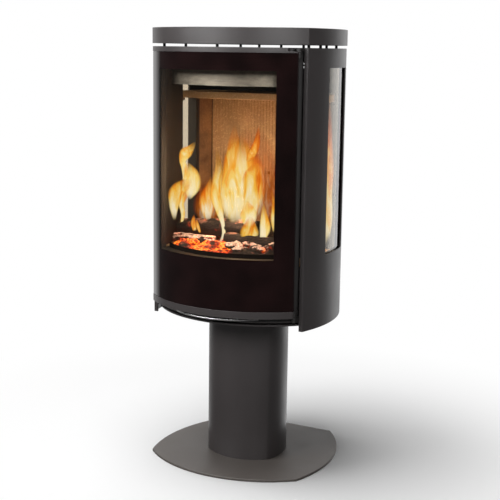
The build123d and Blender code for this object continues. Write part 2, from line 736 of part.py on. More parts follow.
def door_top_trim():
    """Cap over the top of the glass, cut back at the hinge corner."""
    strip = trim(GLASS_TOP, DOOR_TOP, DOOR_HALF - 0.5)
    return strip - block(HINGE_X - 14, 260, -400, 0, GLASS_TOP + 4, DOOR_TOP + 1)


def door_bottom_trim():
    return trim(DOOR_BOTTOM, GLASS_BOTTOM, DOOR_HALF - 0.5)


def glass_clips():
    """Angle clips that grip the side edges of the glass from the frame."""
    clips = []
    x0 = DOOR_HALF - 12
    for s in MIRROR:
        for z in (520.0, 700.0, 880.0, 1010.0):
            wide = door_band(DOOR_R - GLASS_T - 0.2, DOOR_R - GLASS_T - 2.2, DOOR_HALF - 3, z, z + 22)
            wide = wide & (block(x0 + 0.3, 260, -400, 0, z, z + 22) if s > 0
                           else block(-260, -x0 - 0.3, -400, 0, z, z + 22))
            clips.append(wide)
    return group(clips)


HANDLE_Z0 = 412.0
HANDLE_Z1 = 416.0
HANDLE_HALF = 128.0
HANDLE_R = 165.0             # front edge of the crescent
HANDLE_APEX = -282.0


def door_handle():
    """Crescent grip plate under the door: strongly curved front, ends under the trim."""
    disc = Pos(0, HANDLE_APEX + HANDLE_R) * Circle(HANDLE_R)
    inner = Pos(0, DOOR_AXIS_Y) * Circle(FACE_R + 1.5)
    keep = Pos(0, -300) * Rectangle(2 * HANDLE_HALF, 300)
    return slab((disc & keep) - inner, HANDLE_Z0, HANDLE_Z1)


def handle_brackets():
    """Two posts that hang the grip plate from the door frame."""
    posts = []
    for s in MIRROR:
        x = s * 62.0
        y = door_y(FRAME_BACK_R + 12, 62.0)
        posts.append(rod(x, y, HANDLE_Z1, DOOR_BOTTOM + 3, 5.0))
    return group(posts)


def hinge_ears():
    """Knuckles welded to the door frame's right edge, which turn on the pins."""
    ears = []
    for z0, z1 in ((EAR_LOW_Z, EAR_LOW_Z + EAR_H), (EAR_TOP_Z - EAR_H, EAR_TOP_Z)):
        ear = rod(HINGE_X, HINGE_Y, z0, z1, EAR_R)
        ear = ear + block(DOOR_HALF - 12, HINGE_X, HINGE_Y - 1, HINGE_Y + 4, z0, z1)
        ears.append(ear - rod(HINGE_X, HINGE_Y, z0 - 1, z1 + 1, PIN_R + PIN_PLAY))
    return group(ears)


def hinge_bracket(z0, z1):
    """Fixed lug in front of the firebox that holds one hinge pin."""
    arm = block(HINGE_X - LUG_R, HINGE_X + LUG_R, HINGE_Y, -160, z0, z1)
    arm = arm - rod(0, DOOR_AXIS_Y, z0 - 1, z1 + 1, FACE_R + GAP)
    lug = arm + rod(HINGE_X, HINGE_Y, z0, z1, LUG_R)
    return lug - rod(HINGE_X, HINGE_Y, z0 - 1, z1 + 1, PIN_R)


def hinge_bracket_low():
    return hinge_bracket(DECK_Z + PLATE + GAP, EAR_LOW_Z - 0.4)


def hinge_bracket_top():
    return hinge_bracket(EAR_TOP_Z + 0.5, DOOR_TOP)


def hinge_pin_low():
    pin = rod(HINGE_X, HINGE_Y, DECK_Z + PLATE + 2, EAR_LOW_Z + EAR_H - 1, PIN_R)
    return chamfer(pin.edges().group_by(Axis.Z)[-1], 1.0)


def hinge_pin_top():
    pin = rod(HINGE_X, HINGE_Y, EAR_TOP_Z - EAR_H + 1, DOOR_TOP - 1, PIN_R)
    return chamfer(pin.edges().group_by(Axis.Z)[0], 1.0)


# ---------------------------------------------------------------- write every piece
PIECES = {
    "base_plate": base_plate,
    "column_shell": column_shell,
    "column_foot_flange": lambda: column_flange(BASE_THICK, BASE_THICK + 6, AIR_R + 6),
    "column_top_flange": lambda: column_flange(BODY_BOTTOM - 6, BODY_BOTTOM, AIR_R + 3.2),
    "column_bolts": flange_bolts,
    "column_rear_cover": column_rear_cover,
    "column_cover_screws": cover_screws,
    "bottom_plate": bottom_plate,
    "lower_deck": lower_deck,
    "shelf_spacers": shelf_spacers,
    "side_panel_right": side_panel,
    "side_panel_left": lambda: flip(side_panel()),
    "back_panel": back_panel,
    "back_panel_screws": panel_screws,
    "top_plate": top_plate,
    "lid": lid,
    "lid_disc": lid_disc,
    "lid_spacers": lid_spacers,
    "lid_brackets": lid_brackets,
    "firebox_shell": firebox_shell,
    "firebox_floor": firebox_floor,
    "firebox_top": firebox_top,
    "top_flue_blank": top_flue_blank,
    "front_plate": front_plate,
    "smoke_box": smoke_box,
    "flue_collar": flue_collar,
    "air_deflector": air_deflector,
    "log_guard": log_guard,
    "back_lining": back_lining,
    "side_lining_right": side_lining,
    "side_lining_left": lambda: flip(side_lining()),
    "side_window_posts": lambda: group([air_post(), flip(air_post()), lining_rail(), flip(lining_rail())]),
    "floor_lining": floor_lining,
    "hearth_sill": hearth_sill,
    "grate": grate,
    "ash_pan": ash_pan,
    "ash_pan_rails": ash_pan_rails,
    "baffle": baffle,
    "baffle_pegs": baffle_pegs,
    "smoke_shelf": smoke_shelf,
    "side_glass_right": side_glass,
    "side_glass_left": lambda: flip(side_glass()),
    "side_glass_seals": lambda: group([side_seal(), flip(side_seal())]),
    "side_glass_clips": lambda: group([side_glass_clips(), flip(side_glass_clips())]),
    "air_spigot": air_spigot,
    "lever_pivot": lever_pivot,
    "air_lever": air_lever,
    "lever_tab": lever_tab,
    "door_frame": door_frame,
    "door_glass": door_glass,
    "glass_tape": glass_tape,
    "door_seal": door_seal,
    "door_top_trim": door_top_trim,
    "door_bottom_trim": door_bottom_trim,
    "glass_clips": glass_clips,
    "door_handle": door_handle,
    "handle_brackets": handle_brackets,
    "hinge_ears": hinge_ears,
    "hinge_brackets": lambda: group([hinge_bracket_low(), hinge_bracket_top()]),
    "hinge_pins": lambda: group([hinge_pin_low(), hinge_pin_top()]),
}

for node, make in PIECES.items():
    save(make(), node)
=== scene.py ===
# %% [markdown]
# # A wood burning stove on a pedestal
# The steel, glass and fire boards come in as a fixed frame at their real size, in metres, with +Z up
# and the door facing -Y. This lesson gives each of them its real finish, and adds what burns in it and
# has no fixed shape: the split logs, the bed of embers and the flames.

import json
import math
import random

import bmesh
import bpy
from mathutils import Matrix, Vector, noise


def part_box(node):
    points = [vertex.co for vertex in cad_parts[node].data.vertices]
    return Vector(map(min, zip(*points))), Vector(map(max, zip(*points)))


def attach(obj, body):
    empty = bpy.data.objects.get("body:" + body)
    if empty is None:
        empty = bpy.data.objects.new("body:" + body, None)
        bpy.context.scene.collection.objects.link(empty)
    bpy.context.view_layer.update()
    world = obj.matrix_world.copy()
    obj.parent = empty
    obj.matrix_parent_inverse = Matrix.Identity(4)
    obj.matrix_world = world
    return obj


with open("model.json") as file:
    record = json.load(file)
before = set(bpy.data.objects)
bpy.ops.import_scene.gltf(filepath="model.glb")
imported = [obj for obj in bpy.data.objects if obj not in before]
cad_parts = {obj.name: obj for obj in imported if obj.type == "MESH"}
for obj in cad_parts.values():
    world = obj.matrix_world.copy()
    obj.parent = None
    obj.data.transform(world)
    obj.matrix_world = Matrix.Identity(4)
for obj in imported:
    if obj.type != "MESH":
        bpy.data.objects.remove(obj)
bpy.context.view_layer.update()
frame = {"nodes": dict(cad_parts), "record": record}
nodes = frame["nodes"]
scene = bpy.context.scene
MM = 0.001

# %% [markdown]
# ## Reading places from the frame
# The height of the hearth board, the low guard and the top of the door pane are read from their nodes,
# because the wood lies on the board behind the guard and the clear window is marked out from the other
# two. The window is a print on the pane and no piece has its size, so its half width and the margins
# above and below it are typed in.

# %% The places that the later pieces need
LOWEST, HIGHEST = 0, 1
guard_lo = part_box("log_guard")[LOWEST]
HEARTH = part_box("floor_lining")[HIGHEST].z
WINDOW_HALF = 163.5 * MM
WINDOW_LOW = guard_lo.z + 4 * MM
WINDOW_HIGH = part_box("door_glass")[HIGHEST].z - 42 * MM
print("hearth at", round(HEARTH, 4), "window from", round(WINDOW_LOW, 4), "to", round(WINDOW_HIGH, 4))

# %% [markdown]
# ## One colour function and one node function
# Colours are written as the hex values a painter would read off a screen. Cycles works in linear light,
# so one function converts them. Every material is a short list of nodes, so one function adds a node,
# sets its properties and plugs its inputs: a number or colour is set on the socket, a socket is linked.


# %% Colour and node helpers
def colour(hex_code):
    """A '#rrggbb' screen colour as linear red, green and blue, with a full alpha."""
    parts = [int(hex_code[i : i + 2], 16) / 255 for i in (1, 3, 5)]
    linear = [p / 12.92 if p <= 0.04045 else ((p + 0.055) / 1.055) ** 2.4 for p in parts]
    return (*linear, 1.0)


def add(tree, kind, inputs=None, **settings):
    """Adds one node with its settings, and sets or links its inputs."""
    node = tree.nodes.new(kind)
    for name, value in settings.items():
        setattr(node, name, value)
    for name, value in (inputs or {}).items():
        if isinstance(name, int):
            socket = node.inputs[name]
        else:
            socket = next(s for s in node.inputs if s.enabled and s.name == name)
        if isinstance(value, bpy.types.NodeSocket):
            tree.links.new(value, socket)
        else:
            socket.default_value = value
    return node


def out(node):
    """The node's first output that is in use."""
    return next(s for s in node.outputs if s.enabled)


def ramp(tree, factor, stops):
    """A colour ramp: stops are (position, linear colour)."""
    node = add(tree, "ShaderNodeValToRGB", {"Fac": factor})
    while len(node.color_ramp.elements) < len(stops):
        node.color_ramp.elements.new(0.5)
    for element, (position, value) in zip(node.color_ramp.elements, stops):
        element.position = position
        element.color = value
    return node.outputs["Color"]


def new_material(name):
    """An empty node material and its tree with an output."""
    material = bpy.data.materials.new(name)
    material.use_nodes = True
    material.node_tree.nodes.clear()
    output = material.node_tree.nodes.new("ShaderNodeOutputMaterial")
    return material, material.node_tree, output


print("helpers ready, mid grey is", [round(v, 3) for v in colour("#808080")])

# %% [markdown]
# ## Matt stove paint
# The casing is mild steel sprayed with a silicone paint that stands 500 degrees. It dries dead matt with
# a fine dry grain, like very fine sandpaper, so it shows no mirror image, only a wide soft sheen that
# grows at grazing angles. The real grain is about 0.15 mm. It is drawn at 0.9 mm on the body and 1.3 mm
# on the base plate, so that it shows.


# %% Stove paint, in three shades
def stove_paint(name, light, dark, grain_mm=0.9, rough=0.5, bump=0.12):
    """Sprayed high-temperature paint: two close shades, fine grain, handling marks in the gloss."""
    material, tree, output = new_material(name)
    place = add(tree, "ShaderNodeTexCoord").outputs["Object"]
    grain = add(tree, "ShaderNodeTexNoise", {"Vector": place, "Scale": 1 / (grain_mm * MM), "Detail": 3.0})
    cloud = add(tree, "ShaderNodeTexNoise", {"Vector": place, "Scale": 9.0, "Detail": 4.0})
    shade = add(tree, "ShaderNodeMix", {"Factor": out(cloud), "A": colour(dark), "B": colour(light)},
                data_type="RGBA")
    speck = ramp(tree, out(grain), [(0.35, (0.86, 0.86, 0.86, 1)), (0.7, (1.1, 1.1, 1.1, 1))])
    paint = add(tree, "ShaderNodeMix", {"Factor": 1.0, "A": out(shade), "B": speck},
                data_type="RGBA", blend_type="MULTIPLY")
    gloss = add(tree, "ShaderNodeMapRange", {"Value": out(cloud), "From Min": 0.3, "From Max": 0.7,
                                             "To Min": rough - 0.04, "To Max": rough + 0.05})
    height = add(tree, "ShaderNodeBump", {"Height": out(grain), "Strength": bump, "Distance": 0.2 * MM})
    shader = add(tree, "ShaderNodeBsdfPrincipled", {
        "Base Color": out(paint), "Roughness": out(gloss),
        "Normal": out(height), "IOR": 1.5})
    tree.links.new(out(shader), output.inputs["Surface"])
    return material


body_paint = stove_paint("stove paint, dark grey, matt", "#302c2c", "#2a2727", rough=0.37)
base_paint = stove_paint("stove paint, warm grey, matt", "#45403c", "#3d3835", grain_mm=1.3, rough=0.56)
inner_paint = stove_paint("stove paint, black, matt, inside", "#1a1716", "#131110", rough=0.6)
print("paints:", body_paint.name, "|", base_paint.name, "|", inner_paint.name)

# %% [markdown]
# ## Steels that are not painted
# The grip under the door is stainless steel rubbed with a belt along its length, which stretches the
# highlight into fine lines. The strip behind the top of the glass is plain rolled steel that the heat has
# turned grey-green. Screws and bolts are zinc plated, a cool grey with soft cloudy crystals.


# %% Brushed stainless, heat-tinted steel and zinc plate
def bare_steel(name, light, dark, rough, stretch, pattern_mm, bump=0.05):
    """Metal whose pattern is stretched along X, as a belt or a roller leaves it."""
    material, tree, output = new_material(name)
    place = add(tree, "ShaderNodeTexCoord").outputs["Object"]
    drawn = add(tree, "ShaderNodeMapping", {"Vector": place, "Scale": (1 / stretch, 1.0, 1.0)})
    lines = add(tree, "ShaderNodeTexNoise", {"Vector": out(drawn),
                                             "Scale": 1 / (pattern_mm * MM), "Detail": 3.0})
    tone = ramp(tree, out(lines), [(0.3, colour(dark)), (0.7, colour(light))])
    gloss = add(tree, "ShaderNodeMapRange", {"Value": out(lines), "From Min": 0.3, "From Max": 0.7,
                                             "To Min": rough - 0.06, "To Max": rough + 0.08})
    height = add(tree, "ShaderNodeBump", {"Height": out(lines), "Strength": bump,
                                          "Distance": 0.1 * MM})
    shader = add(tree, "ShaderNodeBsdfPrincipled", {
        "Base Color": tone, "Metallic": 1.0, "Roughness": out(gloss),
        "Normal": out(height)})
    tree.links.new(out(shader), output.inputs["Surface"])
    return material


brushed_steel = bare_steel("stainless steel, brushed", "#f0f0ee", "#cfcfcd", 0.38, 30, 0.8)
tinted_steel = bare_steel("rolled steel, heat tinted", "#96989a", "#7e8082", 0.48, 6, 6.0)
zinc_steel = bare_steel("steel, zinc plated", "#b9bcbe", "#93979a", 0.36, 1.0, 2.0)
print("bare metals:", brushed_steel.name, "|", tinted_steel.name, "|", zinc_steel.name)

# %% [markdown]
# ## Vermiculite fire board
# The firebox is lined with pressed vermiculite: flakes of a mica-like mineral bound into a warm tan
# board. The flakes are 1 to 3 mm and catch the light a little, and soot leaves grey clouds where the
# flames do not burn it off. A cell pattern gives the flakes and a wide noise gives the soot.


# %% Fire board
def fire_board(name, clean, flake, soot, soot_share):
    """Pressed mineral board with flakes and soot."""
    material, tree, output = new_material(name)
    place = add(tree, "ShaderNodeTexCoord").outputs["Object"]
    flakes = add(tree, "ShaderNodeTexVoronoi", {"Vector": place, "Scale": 1 / (2.4 * MM)})
    shade = add(tree, "ShaderNodeSeparateColor", {"Color": flakes.outputs["Color"]})
    board = ramp(tree, shade.outputs["Red"], [
        (0.0, colour(clean)), (0.75, colour(clean)), (1.0, colour(flake))])
    cloud = add(tree, "ShaderNodeTexNoise", {
        "Vector": place, "Scale": 11.0, "Detail": 6.0, "Roughness": 0.6})
    amount = add(tree, "ShaderNodeMapRange", {"Value": out(cloud), "From Min": 0.42, "From Max": 0.7,
                                              "To Min": 0.0, "To Max": soot_share})
    surface = add(tree, "ShaderNodeMix", {"Factor": out(amount), "A": board, "B": colour(soot)},
                  data_type="RGBA")
    height = add(tree, "ShaderNodeBump", {"Height": flakes.outputs["Distance"], "Strength": 0.25,
                                          "Distance": 0.5 * MM})
    shader = add(tree, "ShaderNodeBsdfPrincipled", {
        "Base Color": out(surface), "Roughness": 0.85, "Normal": out(height),
        "IOR": 1.45})
    tree.links.new(out(shader), output.inputs["Surface"])
    return material


lining_board = fire_board("vermiculite board, pressed", "#a98a66", "#cfae82", "#5c4b3c", 0.55)
baffle_board = fire_board("vermiculite board, heat bleached", "#b3916c", "#cbb08c", "#86694c", 0.35)
sooty_board = fire_board("vermiculite board, sooty", "#7d5c3c", "#94704c", "#3a2b20", 0.8)
print("boards:", lining_board.name, "|", baffle_board.name, "|", sooty_board.name)

# %% [markdown]
# ## Cast iron, glass-fibre rope and the log guard
# The grate is raw cast iron: dark, slightly warm, with the sandy skin of its mould. The seals are glass
# fibre twisted into rope and dyed dark grey. Their twist shows as slanted strands about 2 mm wide. The
# low guard behind the door is black, with a painted highlight: a grey line along its foot stands for
# the light that its lower edge catches.


# %% Cast iron, rope and the guard
def cast_iron(name):
    """Sand-cast skin: coarse bumps about 1.2 mm across with a little rust-brown in the hollows."""
    material, tree, output = new_material(name)
    place = add(tree, "ShaderNodeTexCoord").outputs["Object"]
    sand = add(tree, "ShaderNodeTexNoise", {"Vector": place, "Scale": 1 / (1.2 * MM), "Detail": 5.0})
    tone = ramp(tree, out(sand), [(0.3, colour("#2a221d")), (0.65, colour("#47423e"))])
    height = add(tree, "ShaderNodeBump", {"Height": out(sand), "Strength": 0.5, "Distance": 0.4 * MM})
    shader = add(tree, "ShaderNodeBsdfPrincipled", {
        "Base Color": tone, "Metallic": 0.6, "Roughness": 0.68, "Normal": out(height)})
    tree.links.new(out(shader), output.inputs["Surface"])
    return material


def fibre_rope(name, light, dark, strand_mm=2.2):
    """Twisted glass fibre: slanted strands with a dull silky sheen."""
    material, tree, output = new_material(name)
    place = add(tree, "ShaderNodeTexCoord").outputs["Object"]
    strands = add(tree, "ShaderNodeTexWave", {"Vector": place, "Scale": 1 / (strand_mm * MM) / 3,
                                              "Distortion": 1.5, "Detail": 2.0, "Detail Scale": 4.0},
                  bands_direction="DIAGONAL")
    tone = ramp(tree, out(strands), [(0.15, colour(dark)), (0.8, colour(light))])
    height = add(tree, "ShaderNodeBump", {"Height": out(strands), "Strength": 0.7,
                                          "Distance": 0.5 * MM})
    shader = add(tree, "ShaderNodeBsdfPrincipled", {
        "Base Color": tone, "Roughness": 0.8, "Sheen Weight": 0.25, "Normal": out(height)})
    tree.links.new(out(shader), output.inputs["Surface"])
    return material


def guard_steel(name, edge_z):
    """Black painted bar with a painted highlight: dull grey below edge_z for the light on its lower edge.
    """
    material, tree, output = new_material(name)
    place = add(tree, "ShaderNodeTexCoord").outputs["Object"]
    axes = add(tree, "ShaderNodeSeparateXYZ", {"Vector": place})
    edge_wobble = add(tree, "ShaderNodeTexNoise", {"Vector": place, "Scale": 1 / (8 * MM), "Detail": 3.0})
    height = add(tree, "ShaderNodeMath", {0: out(edge_wobble), 1: 2 * MM, 2: axes.outputs["Z"]},
                 operation="MULTIPLY_ADD")
    # Painted highlight: the grey band below edge_z stands in for light caught by the guard's lower edge.
    bare = add(tree, "ShaderNodeMapRange", {
        "Value": out(height), "From Min": edge_z + 1 * MM, "From Max": edge_z,
        "To Min": 0.0, "To Max": 1.0})
    tone = add(tree, "ShaderNodeMix", {
        "Factor": out(bare), "A": colour("#0d0807"), "B": colour("#5a4e46")}, data_type="RGBA")
    shader = add(tree, "ShaderNodeBsdfPrincipled", {
        "Base Color": out(tone), "Roughness": 0.9, "Specular IOR Level": 0.1})
    tree.links.new(out(shader), output.inputs["Surface"])
    return material


# The guard's grey foot band is a painted highlight.
guard_bar = guard_steel("steel, black paint, painted lit edge", guard_lo.z + 1 * MM)
grate_iron = cast_iron("cast iron, sand skin")
seal_rope = fibre_rope("glass fibre rope, dark grey", "#4d4a48", "#211f1e")
print("grate:", grate_iron.name, "| seals:", seal_rope.name, "| guard:", guard_bar.name)

# %% [markdown]
# ## Ceramic glass
# The door pane is 4 mm glass ceramic, which does not expand when it gets hot. Its faces are so close
# together that it bends light very little, so it is made as a clear sheet: it lets the view through and
# adds a mirror reflection that grows towards grazing angles: 4% head on for the door and 10% for the
# side panes. Around the clear window the door pane is printed with black enamel, which hides the steel
# frame behind it. The window is marked out on the pane by its place, in metres.


# %% Clear and printed glass
def sheet_glass(tree, tint, reflect=0.04):
    """Clear sheet: see-through with a mirror reflection that grows at grazing angles."""
    facing = add(tree, "ShaderNodeLayerWeight", {"Blend": 0.5}).outputs["Facing"]
    steep = add(tree, "ShaderNodeMath", {0: facing, 1: 5.0}, operation="POWER")
    mirror = add(tree, "ShaderNodeMath", {0: out(steep), 1: 1 - reflect, 2: reflect},
                 operation="MULTIPLY_ADD")
    through = add(tree, "ShaderNodeBsdfTransparent", {"Color": colour(tint)})
    gloss = add(tree, "ShaderNodeBsdfGlossy", {"Color": (1, 1, 1, 1), "Roughness": 0.0})
    return add(tree, "ShaderNodeMixShader", {"Fac": out(mirror), 1: out(through),
                                             2: out(gloss)})


def clear_glass(name, tint, reflect):
    """A pane that is clear all over."""
    material, tree, output = new_material(name)
    tree.links.new(sheet_glass(tree, tint, reflect).outputs["Shader"], output.inputs["Surface"])
    return material


def printed_glass(name, tint, enamel, half_width, low, high):
    """A pane that is clear inside a rectangle and backed with enamel outside it."""
    material, tree, output = new_material(name)
    place = add(tree, "ShaderNodeTexCoord").outputs["Object"]
    axes = add(tree, "ShaderNodeSeparateXYZ", {"Vector": place})
    across = add(tree, "ShaderNodeMath", {0: axes.outputs["X"]}, operation="ABSOLUTE")
    inside_x = add(tree, "ShaderNodeMath", {0: out(across), 1: half_width}, operation="LESS_THAN")
    above = add(tree, "ShaderNodeMath", {0: axes.outputs["Z"], 1: low}, operation="GREATER_THAN")
    below = add(tree, "ShaderNodeMath", {0: axes.outputs["Z"], 1: high}, operation="LESS_THAN")
    tall = add(tree, "ShaderNodeMath", {0: out(above), 1: out(below)}, operation="MULTIPLY")
    window = add(tree, "ShaderNodeMath", {0: out(tall), 1: out(inside_x)}, operation="MULTIPLY")
    ripple = add(tree, "ShaderNodeTexNoise", {"Vector": place, "Scale": 14.0, "Detail": 1.0})
    wave = add(tree, "ShaderNodeBump", {"Height": out(ripple), "Strength": 0.02, "Distance": 1 * MM})
    tone = ramp(tree, out(ripple), [(0.35, colour(enamel)), (0.75, colour("#140a0a"))])
    border = add(tree, "ShaderNodeBsdfPrincipled", {
        "Base Color": tone, "Roughness": 0.04, "IOR": 1.5, "Normal": out(wave)})
    both = add(tree, "ShaderNodeMixShader", {
        "Fac": out(window), 1: out(border),
        2: sheet_glass(tree, tint).outputs["Shader"]})
    tree.links.new(out(both), output.inputs["Surface"])
    return material


door_pane = printed_glass("ceramic glass, black printed border", "#fbf6ee", "#0c0606",
                          WINDOW_HALF, WINDOW_LOW, WINDOW_HIGH)
side_pane = clear_glass("ceramic glass, clear", "#f4efe6", reflect=0.10)
print("panes:", door_pane.name, "|", side_pane.name)

# %% [markdown]
# ## Dressing the frame
# Each CAD node already carries the name of the finish it should have. A dictionary turns that name into
# the material made above, with a few pieces picked out where they look different in use.

# %% Give every CAD node its material
FINISH = {
    "body_paint": body_paint,
    "base_paint": base_paint,
    "dark_steel": inner_paint,
    "grey_steel": tinted_steel,
    "handle_steel": brushed_steel,
    "zinc_steel": zinc_steel,
    "fire_board": lining_board,
    "grate_iron": grate_iron,
    "door_ceramic_glass": door_pane,
    "side_ceramic_glass": side_pane,
    "rope": seal_rope,
}
slot_of = {part["node"]: part["material_slot"] for part in frame["record"]["subparts"]}
for name, node in nodes.items():
    node.data.materials.clear()
    node.data.materials.append(FINISH[slot_of[name]])
nodes["baffle"].data.materials[0] = baffle_board
nodes["log_guard"].data.materials[0] = guard_bar
for name in ("side_lining_left", "side_lining_right"):
    nodes[name].data.materials[0] = sooty_board
print("finished", len(nodes), "nodes in", len(set(slot_of.values())), "finishes")

# %% [markdown]
# ## Softened edges
# Cut and folded steel never has a perfect edge: the paint rounds it by about half a millimetre, and that
# tiny round catches a line of light. A Weld modifier joins the split CAD corners, and a Bevel rounds
# only the sharp ones. The list holds pieces that show; glass, ropes and small screws are left alone.

# %% Round the sharp edges
EDGE_MM = {
    "lid": 0.8, "side_panel_right": 0.7, "side_panel_left": 0.7, "base_plate": 0.6, "bottom_plate": 0.5,
    "lower_deck": 0.5, "door_top_trim": 0.4, "door_bottom_trim": 0.4, "door_handle": 0.8,
    "column_shell": 0.6, "column_rear_cover": 0.5, "back_panel": 0.4, "baffle": 1.2, "lever_tab": 0.4,
    "floor_lining": 1.2, "lid_disc": 0.6, "log_guard": 0.5, "grate": 1.0, "flue_collar": 0.5}
SHARP_DEG = 35
for name, width in EDGE_MM.items():
    node = nodes[name]
    weld = node.modifiers.new("join split corners", "WELD")
    weld.merge_threshold = 0.02 * MM
    bevel = node.modifiers.new("painted edge", "BEVEL")
    bevel.width = width * MM
    bevel.segments = 2
    bevel.limit_method = "ANGLE"
    bevel.angle_limit = math.radians(SHARP_DEG)
    smooth = node.modifiers.new("even shading", "WEIGHTED_NORMAL")
    smooth.keep_sharp = False
print("rounded", len(EDGE_MM), "pieces")

# %% [markdown]
# ## Split logs
# A log here is a quarter or half of a trunk, split with an axe: one rounded bark face, flat split faces
# and sawn ends. It is lofted from rings round a wandering centre line, with lumps from a noise that is
# stretched along the grain, so the cracks run lengthways. The rings are closed at both ends.


# %% Build a log
def noise_at(point, size, seed):
    """Smooth noise from -1 to 1 at a point in metres, with features of that size."""
    shifted = Vector(point) / size + Vector((seed * 7.3, seed * 3.1, seed * 5.7))
    return noise.noise(shifted)


def finish_mesh(name, bm, material):
    """Turns a bmesh into a closed, smooth, outward-facing piece that rides on the fixed body."""
    bmesh.ops.recalc_face_normals(bm, faces=bm.faces)
    mesh = bpy.data.meshes.new(name)
    bm.to_mesh(mesh)
    bm.free()
    mesh.materials.append(material)
    mesh.polygons.foreach_set("use_smooth", [True] * len(mesh.polygons))
    piece = bpy.data.objects.new(name, mesh)
    scene.collection.objects.link(piece)
    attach(piece, "root")
    return piece


def ring_point(angle, radius, splits):
    """A trunk's round section with flat split faces: each split is (direction, distance)."""
    reach = radius
    for direction, distance in splits:
        lean = math.cos(angle - direction)
        if lean > 0.01:
            reach = min(reach, distance / lean)
    return reach


LOG_RINGS, LOG_SIDES = 44, 40
LOG_WANDER = 4 * MM


def make_log(name, start, end, radius, splits, seed, material, rings=LOG_RINGS, char=0.006):
    """A split log between two points, closed at both ends."""
    start, end = Vector(start), Vector(end)
    along = (end - start).normalized()
    side = along.cross(Vector((0, 0, 1))).normalized()
    up = side.cross(along)
    bm = bmesh.new()
    loops = []
    for i in range(rings):
        t = i / (rings - 1)
        centre = start.lerp(end, t) + side * LOG_WANDER * noise_at((t, 0, 0), 0.4, seed)
        shrink = 1 - 0.16 * (2 * abs(t - 0.5)) ** 6
        loop = []
        for j in range(LOG_SIDES):
            angle = math.tau * j / LOG_SIDES
            reach = ring_point(angle, radius, splits) * shrink
            outward = side * math.cos(angle) + up * math.sin(angle)
            grain = noise_at((t * 0.05, 0.03 * math.cos(angle), 0.03 * math.sin(angle)), 0.009, seed)
            lump = noise_at(centre + outward * reach, 0.022, seed + 1)
            loop.append(bm.verts.new(centre + outward * (reach + char * (0.35 * grain + 0.4 * lump))))
        loops.append(loop)
    for a, b in zip(loops, loops[1:]):
        for j in range(LOG_SIDES):
            k = (j + 1) % LOG_SIDES
            bm.faces.new((a[j], a[k], b[k], b[j]))
    for loop in (loops[0], loops[-1]):
        hub = bm.verts.new(sum((v.co for v in loop), Vector()) / LOG_SIDES)
        for j in range(LOG_SIDES):
            bm.faces.new((loop[j], loop[(j + 1) % LOG_SIDES], hub))
    piece = finish_mesh(name, bm, material)
    smooth = piece.modifiers.new("rounder", "SUBSURF")
    smooth.levels = smooth.render_levels = 1
    return piece


print("a full log has", LOG_RINGS * LOG_SIDES, "corners round its rings before smoothing")

# %% [markdown]
# ## Burning wood
# Burning wood is three things at once: black char split into small blocks by cracks, pale ash on the
# blocks' tops, and the glow of the fire down in the cracks. A cell pattern makes the blocks. Its cell
# edges are the cracks, which glow most, and a fine noise lets patches between them glow too, through a
# ramp from dark red through orange to yellow. The blocks are 6 to 12 mm on a real log; the loose embers
# are drawn at 13 mm. Ash is laid where a wide noise says so.


